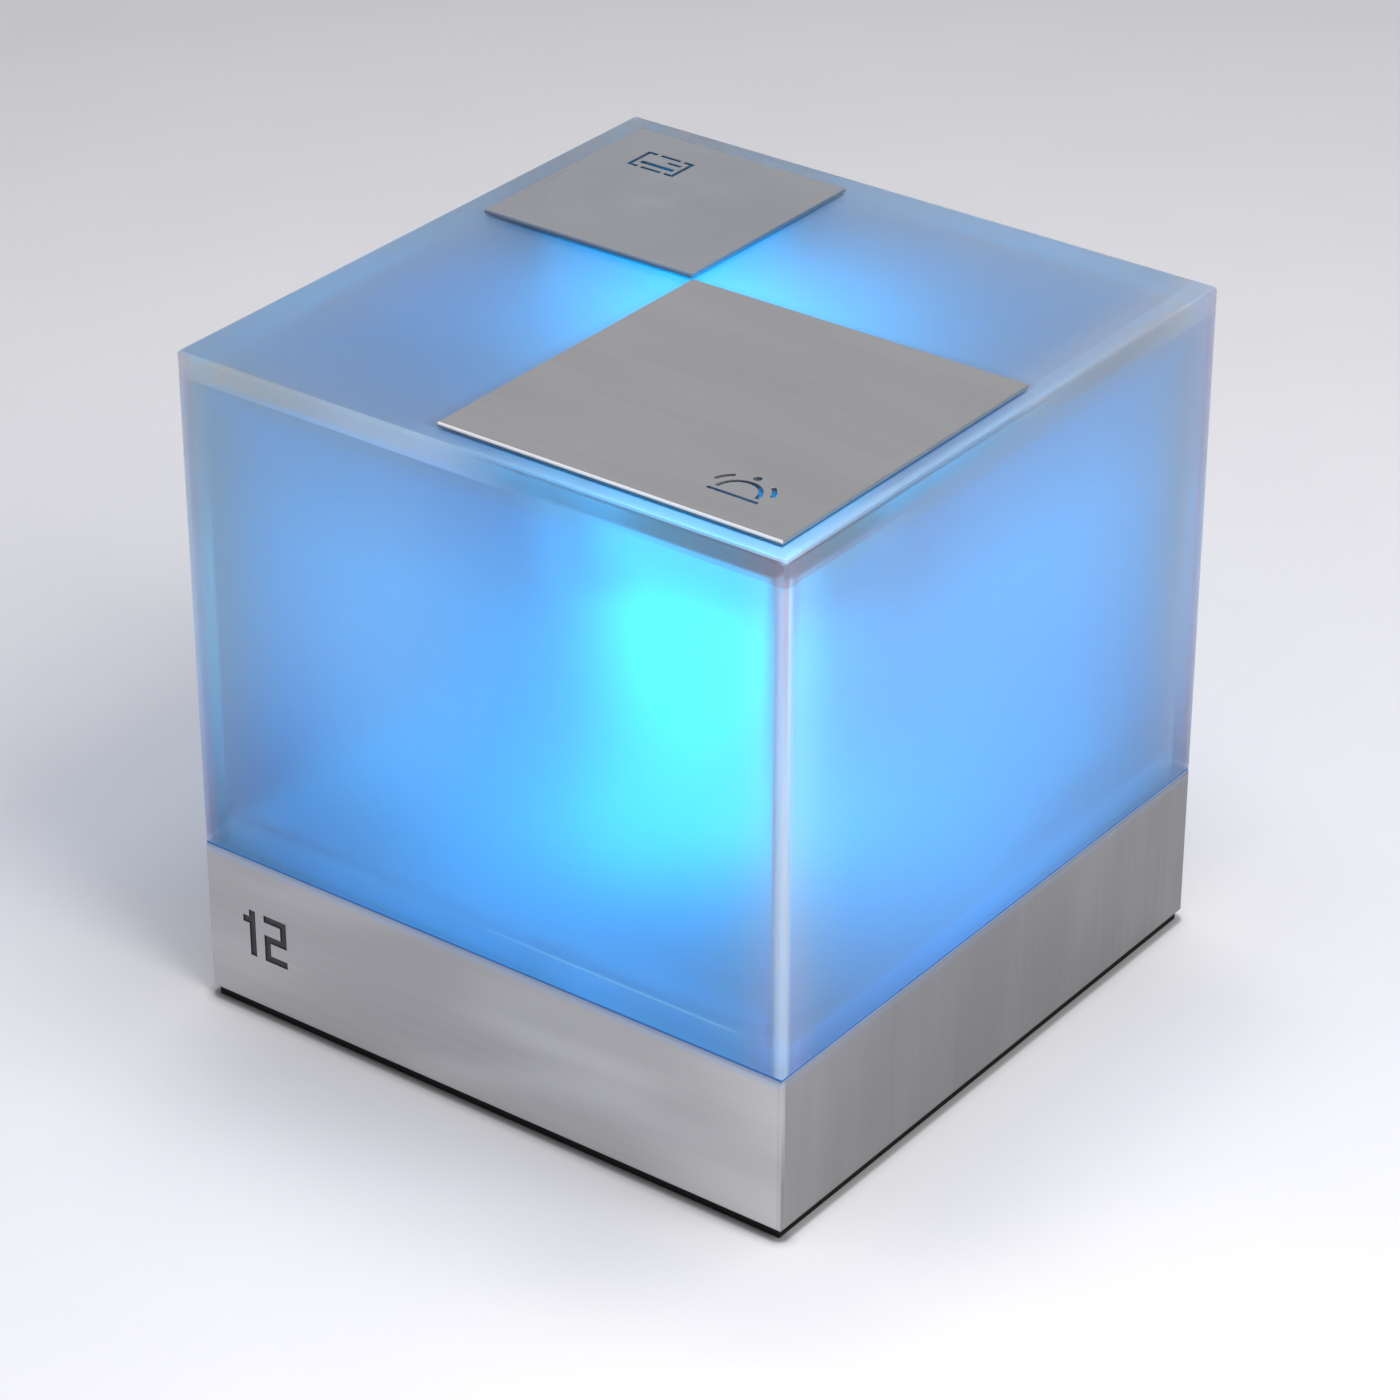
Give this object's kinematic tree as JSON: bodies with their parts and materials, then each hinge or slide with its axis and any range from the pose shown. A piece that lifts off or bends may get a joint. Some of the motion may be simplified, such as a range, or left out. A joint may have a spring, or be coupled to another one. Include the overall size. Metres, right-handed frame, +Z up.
{
  "type": "table call button",
  "caption": "Frosted glowing cube on a brushed steel band, with square steel push plates on top that call for service or for the bill.",
  "frame": {"origin": "centre of the resting face, on the table", "axes": "+Z up, -Y towards the front, where the band carries the table number, +X to the right"},
  "size_m": [0.08, 0.08, 0.082],
  "materials": {
    "frosted_cover": "frosted all over, lit from within in blue and cyan, paler solid edges",
    "seal_rubber": "thin dark seal line",
    "brushed_band": "stainless steel, brushed along the band, satin",
    "brushed_plate": "stainless steel sheet, finely brushed, satin, bright cut edges",
    "black_plastic": "moulded, fine texture",
    "foot_rubber": "matt rubber sheet",
    "white_plastic": "moulded, satin",
    "milky_tube": "milky tube that glows",
    "circuit_board": "solder mask",
    "white_board": "white solder mask",
    "lamp_body": "small lamps",
    "black_part": "moulded chips and cans",
    "shield_tin": "stamped tin, satin",
    "screw_steel": "zinc plated steel",
    "spring_steel": "drawn wire",
    "gold_contact": "gold plated",
    "battery_foil": "foil pouch",
    "foam": "adhesive foam",
    "lead_red": "wire insulation",
    "connector": "moulded connectors",
    "ribbon_film": "flat cable",
    "key_plastic": "moulded key"
  },
  "bodies": {
    "case": {"cover": "frosted_cover", "cover_seal": "seal_rubber", "base_band": "brushed_band", "base_plate": "black_plastic", "foot_pad": "foot_rubber", "deck": "white_plastic", "service_guide_bush": "white_plastic", "service_return_spring": "spring_steel", "service_switch_carrier": "white_plastic", "service_switch_board": "circuit_board", "service_tact_switch": "black_part", "service_carrier_screws": "screw_steel", "service_ribbon_plug": "connector", "service_ribbon": "ribbon_film", "pay_guide_bush": "white_plastic", "pay_return_spring": "spring_steel", "pay_switch_carrier": "white_plastic", "pay_switch_board": "circuit_board", "pay_tact_switch": "black_part", "pay_carrier_screws": "screw_steel", "pay_ribbon_plug": "connector", "pay_ribbon": "ribbon_film", "light_column": "milky_tube", "column_cap": "white_plastic", "led_board": "white_board", "leds": "lamp_body", "head_sockets": "connector", "main_board": "circuit_board", "led_board_socket": "black_part", "radio_module": "shield_tin", "board_chips": "black_part", "battery": "battery_foil", "battery_pad": "foam", "battery_lead": "lead_red", "battery_plug": "connector", "charge_contacts": "gold_contact", "power_switch_body": "shield_tin", "case_screws": "screw_steel", "board_screws": "screw_steel"},
    "service_button": {"service_plate": "brushed_plate", "service_plunger": "white_plastic", "service_nut": "screw_steel"},
    "service_key": {"service_switch_key": "key_plastic"},
    "pay_button": {"pay_plate": "brushed_plate", "pay_plunger": "white_plastic", "pay_nut": "screw_steel"},
    "pay_key": {"pay_switch_key": "key_plastic"},
    "power_slider": {"power_actuator": "black_plastic", "power_knob": "black_plastic"}
  },
  "joints": [
    {"name": "service_press", "type": "slide", "parent": "case", "child": "service_button", "axis": [0, 0, -1], "range_m": [0, 0.00025], "stiffness_N_per_m": 3000, "springref_m": -0.00005, "deforming": ["service_return_spring"]},
    {"name": "service_key_press", "type": "slide", "parent": "case", "child": "service_key", "axis": [0, 0, -1], "range_m": [0, 0.00025], "stiffness_N_per_m": 0.01, "springref_m": -0.03},
    {"name": "pay_press", "type": "slide", "parent": "case", "child": "pay_button", "axis": [0, 0, -1], "range_m": [0, 0.00025], "stiffness_N_per_m": 3000, "springref_m": -0.00005, "deforming": ["pay_return_spring"]},
    {"name": "pay_key_press", "type": "slide", "parent": "case", "child": "pay_key", "axis": [0, 0, -1], "range_m": [0, 0.00025], "stiffness_N_per_m": 0.01, "springref_m": -0.03},
    {"name": "power_slide", "type": "slide", "parent": "case", "child": "power_slider", "axis": [1, 0, 0], "range_m": [0, 0.002]}
  ],
  "couplings": [
    {"joint": "service_key_press", "follows": "service_press", "ratio": 1},
    {"joint": "pay_key_press", "follows": "pay_press", "ratio": 1}
  ]
}
